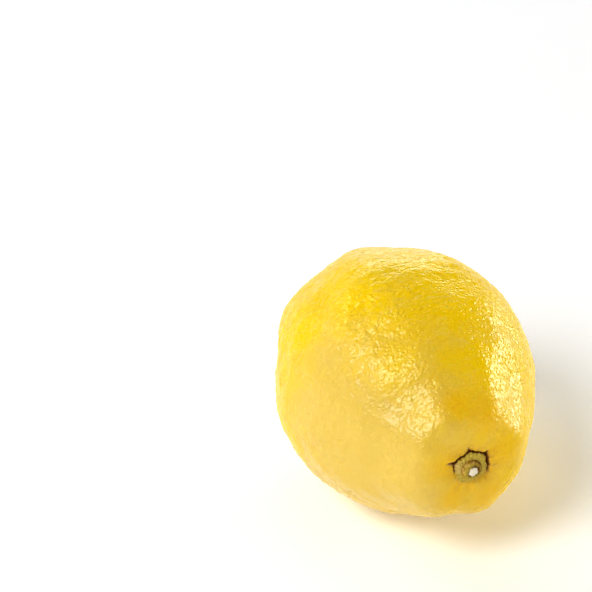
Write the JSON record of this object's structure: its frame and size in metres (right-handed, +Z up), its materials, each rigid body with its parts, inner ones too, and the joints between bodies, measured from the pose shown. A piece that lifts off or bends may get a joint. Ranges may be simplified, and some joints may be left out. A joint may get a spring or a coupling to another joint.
{
  "type": "lemon",
  "caption": "Whole lemon lying on its side, with a folded collar and dry calyx at the stem end and a nipple at the other.",
  "frame": {"origin": "Middle of the small flat spot that the fruit rests on.", "axes": "+Z up, -Y towards the stem end, +Y towards the nipple at the blossom end, +X to the right of someone who looks at the stem end."},
  "size_m": [0.0652, 0.0905, 0.0649],
  "materials": {
    "rind": "satin",
    "calyx": "matte",
    "stem": "matte",
    "style": "matte"
  },
  "bodies": {
    "root": {"fruit": "rind", "calyx": "calyx", "stem_stub": "stem", "style_stub": "style"}
  },
  "joints": []
}
